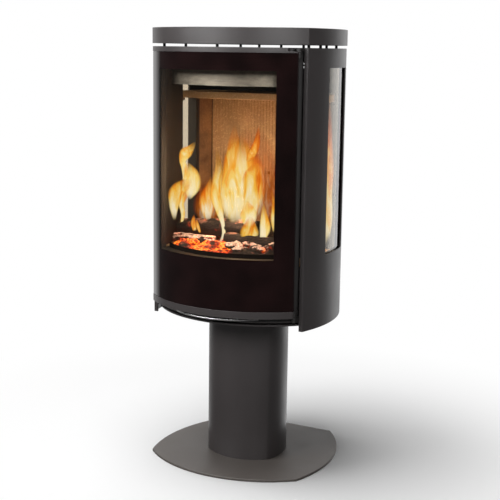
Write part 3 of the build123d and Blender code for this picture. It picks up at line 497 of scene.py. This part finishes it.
# %% Char, ash and embers
def burning_wood(name, block_mm, ash, ash_share, glow, glow_share, glow_ends=None):
    """Char blocks with ash on their tops and glowing cracks; the glow may end at a place along X."""
    material, tree, output = new_material(name)
    place = add(tree, "ShaderNodeTexCoord").outputs["Object"]
    warp = add(tree, "ShaderNodeTexNoise", {"Vector": place, "Scale": 60.0, "Detail": 3.0})
    bent = add(tree, "ShaderNodeMix", {"Factor": 0.012, "A": place, "B": warp.outputs["Color"]},
               data_type="VECTOR")
    cells = add(tree, "ShaderNodeTexVoronoi", {"Vector": out(bent), "Scale": 1 / (block_mm * MM)},
                feature="DISTANCE_TO_EDGE")
    crack = add(tree, "ShaderNodeMapRange", {"Value": cells.outputs["Distance"], "From Min": 0.0,
                                             "From Max": 0.22, "To Min": 1.0, "To Max": 0.0})
    normal = add(tree, "ShaderNodeNewGeometry").outputs["Normal"]
    facing = add(tree, "ShaderNodeSeparateXYZ", {"Vector": normal})
    patch = add(tree, "ShaderNodeTexNoise", {
        "Vector": place, "Scale": 45.0, "Detail": 4.0, "Roughness": 0.65})
    laid = add(tree, "ShaderNodeMath", {0: facing.outputs["Z"], 1: 0.22, 2: out(patch)},
               operation="MULTIPLY_ADD")
    ash_mask = add(tree, "ShaderNodeMapRange", {
        "Value": out(laid), "From Min": 0.86 - 0.4 * ash_share, "From Max": 0.96 - 0.4 * ash_share,
        "To Min": 0.0, "To Max": 1.0})
    fine = add(tree, "ShaderNodeTexNoise", {"Vector": place, "Scale": 240.0, "Detail": 4.0})
    black = ramp(tree, out(fine), [(0.3, colour("#120b09")), (0.8, colour("#3a2a24"))])
    pale = ramp(tree, out(fine), [(0.3, colour("#a8786a")), (0.6, colour(ash))])
    skin = add(tree, "ShaderNodeMix", {"Factor": out(ash_mask), "A": black, "B": pale}, data_type="RGBA")
    heat_patch = add(tree, "ShaderNodeTexNoise", {"Vector": place, "Scale": 22.0, "Detail": 4.0})
    hot = add(tree, "ShaderNodeMapRange", {
        "Value": out(heat_patch), "From Min": 0.66 - 0.35 * glow_share,
        "From Max": 0.78 - 0.3 * glow_share, "To Min": 0.0, "To Max": 1.0})
    flicker = add(tree, "ShaderNodeMath", {0: out(fine), 1: 0.9, 2: -0.15}, operation="MULTIPLY_ADD")
    spread = add(tree, "ShaderNodeMath", {0: out(crack), 1: 0.55, 2: out(flicker)},
                 operation="MULTIPLY_ADD")
    heat = add(tree, "ShaderNodeMath", {0: out(hot), 1: out(spread)}, operation="MULTIPLY")
    if glow_ends is not None:
        axes = add(tree, "ShaderNodeSeparateXYZ", {"Vector": place})
        near = add(tree, "ShaderNodeMapRange", {
            "Value": axes.outputs["X"], "From Min": glow_ends, "From Max": glow_ends - 20 * MM,
            "To Min": 0.0, "To Max": 1.0})
        heat = add(tree, "ShaderNodeMath", {0: out(heat), 1: out(near)}, operation="MULTIPLY")
    light = ramp(tree, out(heat), [
        (0.0, (0, 0, 0, 1)), (0.2, colour("#5a0f04")), (0.45, colour("#d23a08")),
        (0.75, colour("#ff8a1e")), (1.0, colour("#ffd27a"))])
    height = add(tree, "ShaderNodeBump", {"Height": out(crack), "Strength": 0.8,
                                          "Distance": 1.2 * MM}, invert=True)
    shader = add(tree, "ShaderNodeBsdfPrincipled", {
        "Base Color": out(skin), "Roughness": 0.9, "Normal": out(height),
        "Emission Color": light, "Emission Strength": glow})
    tree.links.new(out(shader), output.inputs["Surface"])
    return material


charred_log = burning_wood("beech log, charring", 6, "#8a5f4e", 0.35, 0.8, 0.12)
ashy_log = burning_wood("beech log, white ash", 9, "#f4d6ca", 0.72, 1.0, 0.34)
live_embers = burning_wood("embers, glowing", 13, "#a8503c", 0.30, 2.0, 0.92, glow_ends=0.045)
print("burning wood:", charred_log.name, "|", ashy_log.name, "|", live_embers.name)

# %% [markdown]
# ## Laying the wood
# Two dark logs lie across the back and middle of the hearth. Two shorter halves lie in front, and the
# left one is covered in pale ash. Each log is given by its two end points and by the planes it was
# split along, as a direction and a distance from its middle.

# %% Lay the logs
FIRE_Y = -0.0715
ROUND_BARK = [(math.radians(-35), 0.020), (math.radians(70), 0.019)]
HALF_ROUND = [(math.radians(90), 0.016)]
QUARTER = [(math.radians(20), 0.017), (math.radians(110), 0.019)]
logs = [
    make_log("log_back", (-0.165, 0.000, HEARTH + 0.036), (0.150, 0.030, HEARTH + 0.038),
             0.028, QUARTER, 3, charred_log),
    make_log("log_middle", (-0.176, FIRE_Y, HEARTH + 0.041), (0.058, FIRE_Y + 0.008, HEARTH + 0.055),
             0.023, ROUND_BARK, 5, charred_log),
    make_log("log_front_left", (-0.168, FIRE_Y - 0.036, HEARTH + 0.018),
             (-0.045, FIRE_Y - 0.032, HEARTH + 0.017), 0.014, HALF_ROUND, 7, ashy_log,
             rings=30, char=0.009),
    make_log("log_front_right", (-0.020, FIRE_Y - 0.030, HEARTH + 0.026),
             (0.140, FIRE_Y - 0.020, HEARTH + 0.024), 0.018, HALF_ROUND, 9, charred_log, char=0.008),
]
print("logs:", [log.name for log in logs])

# %% [markdown]
# ## The bed of embers
# Burnt-down logs leave a heap of lumps a few centimetres across. It is one closed mound: a grid laid on
# the hearth and raised by noise of two sizes, with its rim brought down to the board, and a flat bottom.
# Its front follows the curve of the guard.


# %% Heap up the embers
GUARD_R = 0.250
RIM_GAP = 0.010


def behind_guard(x, gap):
    """The y of a place on the hearth at x, a gap behind the curved guard."""
    return guard_lo.y + GUARD_R - math.sqrt((GUARD_R - gap) ** 2 - x * x)


def make_mound(name, x_half, y_back, peak, seed, material, step=0.0045):
    """A closed lumpy heap on the hearth board, with its front along the guard."""
    count_x = int(2 * x_half / step)
    count_y = int((y_back - behind_guard(0.0, RIM_GAP)) / step)
    bm = bmesh.new()
    grids = {}
    for level in ("top", "bottom"):
        for i in range(count_x + 1):
            x = -x_half + 2 * x_half * i / count_x
            front = behind_guard(x, RIM_GAP)
            for j in range(count_y + 1):
                u, v = i / count_x, j / count_y
                y = front + (y_back - front) * v
                rim = min(1.0, 9 * min(u, 1 - u)) * min(1.0, 0.2 + 7 * v, 5 * (1 - v))
                lumps = 0.6 + 0.55 * noise_at((x, y, 0), 0.042, seed)
                lumps += 0.34 * noise_at((x, y, 0), 0.015, seed)
                z = HEARTH + 0.0006
                if level == "top":
                    z += 0.0012 + max(0.0, peak * math.sqrt(rim) * lumps)
                grids[level, i, j] = bm.verts.new((x, y, z))
    for i in range(count_x):
        for j in range(count_y):
            corners = [(i, j), (i + 1, j), (i + 1, j + 1), (i, j + 1)]
            bm.faces.new([grids["top", a, b] for a, b in corners])
            bm.faces.new([grids["bottom", a, b] for a, b in reversed(corners)])
    rim_walk = [(i, 0) for i in range(count_x)] + [(count_x, j) for j in range(count_y)]
    rim_walk += [(i, count_y) for i in range(count_x, 0, -1)] + [(0, j) for j in range(count_y, 0, -1)]
    for a, b in zip(rim_walk, rim_walk[1:] + rim_walk[:1]):
        bm.faces.new((grids["top", *a], grids["bottom", *a], grids["bottom", *b], grids["top", *b]))
    return finish_mesh(name, bm, material)


mound = make_mound("ember_bed", 0.166, 0.030, 0.022, 4, live_embers)
print("ember bed of", len(mound.data.vertices), "corners")

# %% [markdown]
# ## Loose charcoal
# A wood fire drops lumps of charcoal one or two centimetres across, and most of them lie to the right
# here. Each is a ball pushed in and out by noise. The random numbers are seeded, so they always fall in
# the same places.


# %% Scatter the charcoal
def make_lump(name, centre, size, seed, material):
    """One loose piece of charcoal: a rounded lump with flattened, noisy sides."""
    bm = bmesh.new()
    bmesh.ops.create_icosphere(bm, subdivisions=3, radius=1.0)
    for vert in bm.verts:
        direction = vert.co.normalized()
        dent = 1 + 0.35 * noise_at(direction, 0.7, seed) + 0.15 * noise_at(direction, 0.25, seed)
        vert.co = Vector(centre) + Vector((direction.x * size[0], direction.y * size[1],
                                           direction.z * size[2])) * dent
    return finish_mesh(name, bm, material)


luck = random.Random(21)
LUMPS = 40
ASHY_SIDE = 0.03
for i in range(LUMPS):
    x = luck.uniform(0.030, 0.156) if i % 4 else luck.uniform(-0.156, 0.156)
    y = behind_guard(x, 0.022) + luck.uniform(0.0, 0.062)
    width = luck.uniform(0.008, 0.017)
    make_lump(f"charcoal_{i + 1:02d}", (x, y, HEARTH + 0.012 + luck.uniform(0.0, 0.011)),
              (width, width * 0.8, width * 0.6), i, ashy_log if x > ASHY_SIDE else live_embers)
print("loose charcoal:", LUMPS)

# %% [markdown]
# ## Flames
# A flame is a thin sheet of glowing soot that rises, narrows and curls. Each tongue is lofted as a thin
# lens-shaped ribbon along a curved spine: wide near the wood, pulled to a point at its tip. Its UV map
# runs across the tongue and up it, so the material can be white-yellow low down in the middle, orange
# towards the edges and the tip, and fade out at both sides however it is looked at.


# %% Flame material
def flame(name, pale, middle, deep, strength, density, seed):
    """Glowing gas: pale low down and in the middle, with upright streaks, and a redder edge and tip."""
    material, tree, output = new_material(name)
    coords = add(tree, "ShaderNodeTexCoord")
    uv = add(tree, "ShaderNodeSeparateXYZ", {"Vector": coords.outputs["UV"]})
    stretched = add(tree, "ShaderNodeMapping", {"Vector": coords.outputs["Object"],
                                                "Location": (seed, 0.0, 0.0), "Scale": (1.0, 1.0, 0.22)})
    streaks = add(tree, "ShaderNodeTexNoise", {"Vector": out(stretched), "Scale": 55.0,
                                               "Detail": 3.0, "Distortion": 1.2})
    centred = add(tree, "ShaderNodeMath", {0: uv.outputs["X"], 1: 0.5}, operation="SUBTRACT")
    away = add(tree, "ShaderNodeMath", {0: out(centred)}, operation="ABSOLUTE")
    torn_edge = add(tree, "ShaderNodeMath", {0: out(streaks), 1: 0.22, 2: out(away)},
                    operation="MULTIPLY_ADD")
    inside = add(tree, "ShaderNodeMapRange", {
        "Value": out(torn_edge), "From Min": 0.61, "From Max": 0.40,
        "To Min": 0.0, "To Max": 1.0}, interpolation_type="SMOOTHSTEP")
    tip = add(tree, "ShaderNodeMapRange", {"Value": uv.outputs["Y"], "From Min": 1.0, "From Max": 0.52,
                                           "To Min": 0.0, "To Max": 1.0}, interpolation_type="SMOOTHSTEP")
    foot = add(tree, "ShaderNodeMapRange", {"Value": uv.outputs["Y"], "From Min": 0.0, "From Max": 0.20,
                                            "To Min": 0.0, "To Max": 1.0}, interpolation_type="SMOOTHSTEP")
    rim = add(tree, "ShaderNodeMapRange", {"Value": out(away), "From Min": 0.05, "From Max": 0.46,
                                           "To Min": 0.08, "To Max": -0.05})
    warm = add(tree, "ShaderNodeMath", {0: out(streaks), 1: out(rim)}, operation="ADD")
    cool = add(tree, "ShaderNodeMapRange", {"Value": uv.outputs["Y"], "From Min": 0.15, "From Max": 1.0,
                                            "To Min": -0.10, "To Max": 0.27})
    tone = add(tree, "ShaderNodeMath", {0: out(warm), 1: out(cool)}, operation="SUBTRACT")
    glow = ramp(tree, out(tone), [
        (0.28, colour(deep)), (0.44, colour(middle)), (0.60, colour(pale)), (0.76, colour("#fff8dc"))])
    shape = add(tree, "ShaderNodeMath", {0: out(inside), 1: out(tip)}, operation="MULTIPLY")
    rooted = add(tree, "ShaderNodeMath", {0: out(shape), 1: out(foot)}, operation="MULTIPLY")
    thick = add(tree, "ShaderNodeMath", {0: out(rooted), 1: density}, operation="MULTIPLY", use_clamp=True)
    light = add(tree, "ShaderNodeEmission", {"Color": glow, "Strength": strength})
    clear = add(tree, "ShaderNodeBsdfTransparent")
    mixed = add(tree, "ShaderNodeMixShader", {"Fac": out(thick), 1: out(clear), 2: out(light)})
    tree.links.new(out(mixed), output.inputs["Surface"])
    return material


bright_flame = flame("flame, bright yellow", "#fde79c", "#fbc448", "#ee8a20", 1.0, 0.88, 0.0)
orange_flame = flame("flame, orange", "#ffc658", "#f08418", "#cc5408", 1.0, 0.80, 3.7)
white_flame = flame("flame, white hot", "#fff3c4", "#fde080", "#f9ae38", 1.05, 0.96, 7.1)
haze_flame = flame("flame, thin and red", "#e8801c", "#c85810", "#903406", 0.7, 0.36, 5.3)
print("flames:", bright_flame.name, "|", orange_flame.name, "|", white_flame.name, "|", haze_flame.name)

# %% [markdown]
# ## Shaping a tongue
# A smooth curve runs through the spine's points, and another through the widths. Rings with the section
# of a thin lens are set along the spine and joined, and both ends are closed.


# %% Shape a tongue of flame
def spline_point(points, t):
    """A point on a smooth curve through given points, t from 0 to 1."""
    span = t * (len(points) - 1)
    i = min(int(span), len(points) - 2)
    f = span - i
    p0, p1, p2, p3 = (Vector(points[max(0, min(len(points) - 1, i + k))]) for k in (-1, 0, 1, 2))
    return 0.5 * ((2 * p1) + (p2 - p0) * f + (2 * p0 - 5 * p1 + 4 * p2 - p3) * f * f
                  + (3 * p1 - p0 - 3 * p2 + p3) * f ** 3)


BROAD_SIDE = math.radians(28.0)
THIN_TO_WIDE = 0.16
NARROWEST = 1.5 * MM


def make_tongue(name, spine, widths, material, rings=36, sides=14):
    """A closed flame ribbon along a spine; widths in metres are given at equal steps up it."""
    bm = bmesh.new()
    uv_layer = bm.loops.layers.uv.new("UVMap")
    broad = Vector((math.cos(BROAD_SIDE), math.sin(BROAD_SIDE), 0))
    across_of, loops = {}, []
    for i in range(rings):
        t = i / (rings - 1)
        centre = spline_point(spine, t)
        ahead = spline_point(spine, min(1.0, t + 0.02)) - spline_point(spine, max(0.0, t - 0.02))
        ahead.normalize()
        wide = (broad - ahead * broad.dot(ahead)).normalized()
        deep = ahead.cross(wide)
        width = max(NARROWEST, spline_point([(w, 0, 0) for w in widths], t).x)
        loop = []
        for j in range(sides):
            angle = math.tau * j / sides
            a, b = math.cos(angle), math.sin(angle)
            vert = bm.verts.new(centre + wide * a * width / 2 + deep * b * width / 2 * THIN_TO_WIDE)
            across_of[vert] = (0.5 + a / 2, t)
            loop.append(vert)
        loops.append(loop)
    for a, b in zip(loops, loops[1:]):
        for j in range(sides):
            k = (j + 1) % sides
            bm.faces.new((a[j], a[k], b[k], b[j]))
    bm.faces.new(loops[0])
    bm.faces.new(list(reversed(loops[-1])))
    for face in bm.faces:
        for corner in face.loops:
            corner[uv_layer].uv = across_of[corner.vert]
    return finish_mesh(name, bm, material)


print("a tongue stands with its broad side turned", round(math.degrees(BROAD_SIDE)), "degrees")

# %% [markdown]
# ## Setting the fire
# Twenty tongues and three wide, faint hazes stand at different depths, so that they overlap as real ones
# do. Spines and widths are in metres. Each foot is pinched to half its listed width, where the gas leaves
# the wood.

# %% Set the fire
FOOT_PINCH = 0.5
tongues = [
    # name, depth (y), spine (x, height above the hearth), widths going up, material
    ("flame_left_outer", -0.110, [(-0.166, 0.062), (-0.168, 0.103), (-0.160, 0.136), (-0.138, 0.157),
                                  (-0.116, 0.174)], [0.014, 0.030, 0.042, 0.040, 0.008], bright_flame),
    ("flame_left_stem", -0.085, [(-0.165, 0.037), (-0.156, 0.074), (-0.161, 0.106), (-0.152, 0.132),
                                 (-0.139, 0.165)], [0.006, 0.012, 0.018, 0.026, 0.016], bright_flame),
    ("flame_left_bubble", -0.080, [(-0.141, 0.115), (-0.133, 0.146), (-0.134, 0.173), (-0.141, 0.195),
                                   (-0.146, 0.214)], [0.014, 0.044, 0.050, 0.034, 0.004], white_flame),
    ("flame_left_neck", -0.080, [(-0.156, 0.160), (-0.156, 0.198), (-0.160, 0.216), (-0.150, 0.237),
                                 (-0.134, 0.252), (-0.121, 0.268)],
     [0.010, 0.016, 0.020, 0.034, 0.020, 0.003], white_flame),
    ("flame_centre_left", -0.070, [(-0.088, 0.060), (-0.092, 0.099), (-0.091, 0.127), (-0.086, 0.153),
                                   (-0.079, 0.182)], [0.022, 0.044, 0.042, 0.022, 0.003], orange_flame),
    ("flame_small_left", -0.110, [(-0.104, 0.040), (-0.109, 0.061), (-0.107, 0.084)],
     [0.020, 0.015, 0.002], orange_flame),
    ("flame_small_right", -0.110, [(-0.088, 0.036), (-0.096, 0.055), (-0.100, 0.074)],
     [0.010, 0.010, 0.002], orange_flame),
    ("flame_long", -0.090, [(-0.048, 0.004), (-0.031, 0.033), (-0.033, 0.062), (-0.045, 0.099),
                            (-0.055, 0.133), (-0.050, 0.174), (-0.047, 0.215), (-0.057, 0.268)],
     [0.006, 0.010, 0.012, 0.022, 0.030, 0.028, 0.020, 0.003], white_flame),
    ("flame_main_left", -0.062, [(-0.029, 0.066), (-0.032, 0.110), (-0.032, 0.144), (-0.028, 0.182),
                                 (-0.022, 0.230), (-0.018, 0.275), (-0.016, 0.320)],
     [0.038, 0.052, 0.056, 0.050, 0.044, 0.030, 0.004], bright_flame),
    ("flame_main", -0.070, [(0.003, 0.055), (0.002, 0.103), (0.002, 0.137), (0.005, 0.175), (0.006, 0.212),
                            (0.004, 0.251), (0.008, 0.292)],
     [0.060, 0.090, 0.094, 0.088, 0.070, 0.060, 0.010], white_flame),
    ("flame_main_back", -0.050, [(0.024, 0.080), (0.022, 0.130), (0.020, 0.180), (0.014, 0.230),
                                 (0.012, 0.286)],
     [0.060, 0.080, 0.084, 0.070, 0.010], orange_flame),
    ("flame_main_right", -0.075, [(0.038, 0.060), (0.042, 0.118), (0.037, 0.155), (0.036, 0.186),
                                  (0.048, 0.208), (0.058, 0.226)],
     [0.034, 0.042, 0.044, 0.038, 0.026, 0.004], bright_flame),
    ("flame_horn", -0.070, [(0.024, 0.222), (0.036, 0.240), (0.048, 0.262), (0.054, 0.288),
                            (0.057, 0.320)],
     [0.012, 0.022, 0.022, 0.014, 0.002], orange_flame),
    ("flame_core", -0.095, [(0.044, 0.060), (0.045, 0.085), (0.043, 0.106), (0.035, 0.130)],
     [0.036, 0.046, 0.038, 0.005], white_flame),
    ("flame_right", -0.095, [(0.083, 0.030), (0.091, 0.060), (0.089, 0.088), (0.086, 0.128)],
     [0.026, 0.030, 0.022, 0.002], white_flame),
    ("flame_far_right", -0.075, [(0.108, 0.050), (0.108, 0.085), (0.107, 0.112), (0.101, 0.150)],
     [0.018, 0.022, 0.016, 0.002], bright_flame),
    ("flame_wedge", -0.098, [(0.052, 0.026), (0.050, 0.050), (0.052, 0.090)],
     [0.060, 0.052, 0.010], bright_flame),
    ("flame_side_low", 0.030, [(0.200, 0.012), (0.204, 0.080), (0.200, 0.140), (0.205, 0.200),
                               (0.202, 0.260)],
     [0.020, 0.026, 0.024, 0.018, 0.003], bright_flame),
    ("flame_side_tall", 0.034, [(0.203, 0.030), (0.201, 0.120), (0.204, 0.200), (0.201, 0.290),
                                (0.203, 0.390)],
     [0.018, 0.024, 0.026, 0.022, 0.003], orange_flame),
    ("flame_side_rear", 0.036, [(0.208, 0.020), (0.210, 0.090), (0.207, 0.150), (0.210, 0.210),
                                (0.208, 0.300)],
     [0.010, 0.015, 0.016, 0.014, 0.003], bright_flame),
    ("haze_centre", -0.020, [(0.012, 0.050), (0.016, 0.120), (0.010, 0.190), (0.012, 0.260),
                             (0.010, 0.320)],
     [0.120, 0.190, 0.180, 0.130, 0.020], haze_flame),
    ("haze_left", -0.040, [(-0.105, 0.050), (-0.108, 0.090), (-0.112, 0.130), (-0.104, 0.175)],
     [0.070, 0.080, 0.060, 0.010], haze_flame),
    ("haze_right", -0.030, [(0.100, 0.050), (0.104, 0.100), (0.098, 0.160), (0.104, 0.230)],
     [0.070, 0.090, 0.070, 0.010], haze_flame),
]
for name, depth, spine, widths, material in tongues:
    raised = [(x, depth, HEARTH + height) for x, height in spine]
    make_tongue(name, raised, [widths[0] * FOOT_PINCH] + widths[1:], material)
print("tongues and hazes:", len(tongues))

# %% [markdown]
# ## Floor and world
# The stove stands in a plain white studio. The floor is a pale diffuse surface near the stove, where it
# takes the shadow, and turns evenly white further off, so that it meets the backdrop without a line. The
# camera sees a white backdrop, while reflections see a world that is white behind the stove and dim in
# front of it: the paint shows soft sheens from the bright side and the glass stays black.


# %% Floor and world
def make_floor():
    """A plain pale floor: lit near the stove, so that it takes a shadow, and evenly white further off."""
    bm = bmesh.new()
    bmesh.ops.create_grid(bm, x_segments=2, y_segments=2, size=12.0)
    mesh = bpy.data.meshes.new("floor")
    bm.to_mesh(mesh)
    bm.free()
    material, tree, output = new_material("studio floor, pale")
    place = add(tree, "ShaderNodeTexCoord").outputs["Object"]
    reach = add(tree, "ShaderNodeVectorMath", {0: place}, operation="LENGTH")
    far = add(tree, "ShaderNodeMapRange", {
        "Value": reach.outputs["Value"], "From Min": 0.50, "From Max": 1.2,
        "To Min": 0.0, "To Max": 1.0}, interpolation_type="SMOOTHSTEP")
    near_floor = add(tree, "ShaderNodeBsdfDiffuse", {"Color": colour("#fafafa")})
    far_floor = add(tree, "ShaderNodeEmission", {"Color": (1, 1, 1, 1), "Strength": 1.0})
    shown = add(tree, "ShaderNodeMixShader", {"Fac": out(far), 1: out(near_floor), 2: out(far_floor)})
    mirrored = add(tree, "ShaderNodeLightPath").outputs["Is Glossy Ray"]
    unseen = add(tree, "ShaderNodeBsdfTransparent")
    whole = add(tree, "ShaderNodeMixShader", {"Fac": mirrored, 1: out(shown), 2: out(unseen)})
    tree.links.new(out(whole), output.inputs["Surface"])
    mesh.materials.append(material)
    piece = bpy.data.objects.new("floor", mesh)
    scene.collection.objects.link(piece)
    piece.location.z = -0.0005
    return piece


floor = make_floor()
world = bpy.data.worlds.new("studio")
scene.world = world
world.use_nodes = True
world.node_tree.nodes.clear()
sky = world.node_tree
direction = add(sky, "ShaderNodeTexCoord").outputs["Generated"]
BACK_DIRECTION = Vector((-0.42, 0.91, 0.0)).normalized()
AMBIENT = 0.18
towards = add(sky, "ShaderNodeVectorMath", {0: direction, 1: BACK_DIRECTION}, operation="DOT_PRODUCT")
around = ramp(sky, out(add(sky, "ShaderNodeMapRange", {"Value": out(towards), "From Min": -1.0,
                                                       "From Max": 1.0})),
              [(0.0, (0.03, 0.03, 0.03, 1)), (0.6, (0.05, 0.05, 0.05, 1)), (0.78, (0.08, 0.08, 0.08, 1)),
               (0.865, (1.15, 1.15, 1.15, 1))])
path = add(sky, "ShaderNodeLightPath")
soft = add(sky, "ShaderNodeMix", {
    "Factor": path.outputs["Is Glossy Ray"], "A": (AMBIENT, AMBIENT, AMBIENT, 1), "B": around},
    data_type="RGBA")
backdrop = add(sky, "ShaderNodeMix", {"Factor": path.outputs["Is Camera Ray"], "A": out(soft),
                                      "B": (1.0, 1.0, 1.0, 1.0)}, data_type="RGBA")
glow = add(sky, "ShaderNodeBackground", {"Color": out(backdrop), "Strength": 1.0})
sky.links.new(glow.outputs["Background"], add(sky, "ShaderNodeOutputWorld").inputs["Surface"])
scene.view_settings.view_transform = "Standard"
print("floor and world ready")

# %% [markdown]
# ## Lights
# Large area lights stand in for soft boxes. Light linking keeps the two front boxes off the floor, so
# that only the overhead box casts the soft shadow. Two small warm lights sit in the flames, since on the
# real stove the fire lights its own lining.


# %% Lights
def soft_box(name, place, aim, size, watts):
    """A white rectangular area light that looks at a point."""
    data = bpy.data.lights.new(name, "AREA")
    data.shape = "RECTANGLE"
    data.size, data.size_y = size
    data.energy = watts
    lamp = bpy.data.objects.new(name, data)
    lamp.location = place
    lamp.rotation_mode = "QUATERNION"
    lamp.rotation_quaternion = (Vector(aim) - Vector(place)).to_track_quat("-Z", "Y")
    scene.collection.objects.link(lamp)
    return lamp


LID_MIDDLE = (0.0, 0.0, 1.0)
front_boxes = [soft_box("left soft box", (-1.66, -2.4, 2.1), LID_MIDDLE, (2.4, 1.2), 150),
               soft_box("right soft box", (1.97, -2.5, 2.1), LID_MIDDLE, (2.0, 1.2), 85)]
soft_box("overhead soft box", (-0.50, -0.40, 4.0), (0.0, 0.0, 0.0), (1.9, 1.9), 150)
stove_only = bpy.data.collections.new("lit by the front boxes")
stove_only.objects.link(floor)
stove_only.collection_objects[0].light_linking.link_state = "EXCLUDE"
for lamp in front_boxes:
    lamp.light_linking.receiver_collection = stove_only


def fire_light(name, place, watts):
    """A warm ball of light inside the fire."""
    data = bpy.data.lights.new(name, "POINT")
    data.energy = watts
    data.color = colour("#ffd9b4")[:3]
    data.shadow_soft_size = 35 * MM
    lamp = bpy.data.objects.new(name, data)
    lamp.location = place
    scene.collection.objects.link(lamp)


fire_light("fire glow low", (0.01, -0.085, HEARTH + 0.13), 1.5)
fire_light("fire glow high", (-0.01, -0.035, HEARTH + 0.21), 1.7)

# %% [markdown]
# ## Camera
# The camera stands in front and to the right, just below the height of the lid's top, and looks about ten
# degrees down through a long lens, which keeps the upright edges nearly parallel.

# %% Camera
camera_data = bpy.data.cameras.new("camera")
camera_data.lens = 80.29
camera_data.sensor_width = 36.0
camera = bpy.data.objects.new("camera", camera_data)
camera.location = (1.36807, -2.54025, 1.06938)
YAW, PITCH, ROLL = math.radians(28.33), math.radians(10.22), math.radians(0.77)
turn = Matrix.Rotation(YAW, 3, "Z") @ Matrix.Rotation(math.pi / 2 - PITCH, 3, "X")
turn = turn @ Matrix.Rotation(ROLL, 3, "Z")
camera.rotation_mode = "QUATERNION"
camera.rotation_quaternion = turn.to_quaternion()
scene.collection.objects.link(camera)
scene.camera = camera
print("camera", round(Vector(camera.location).length, 2), "m away")
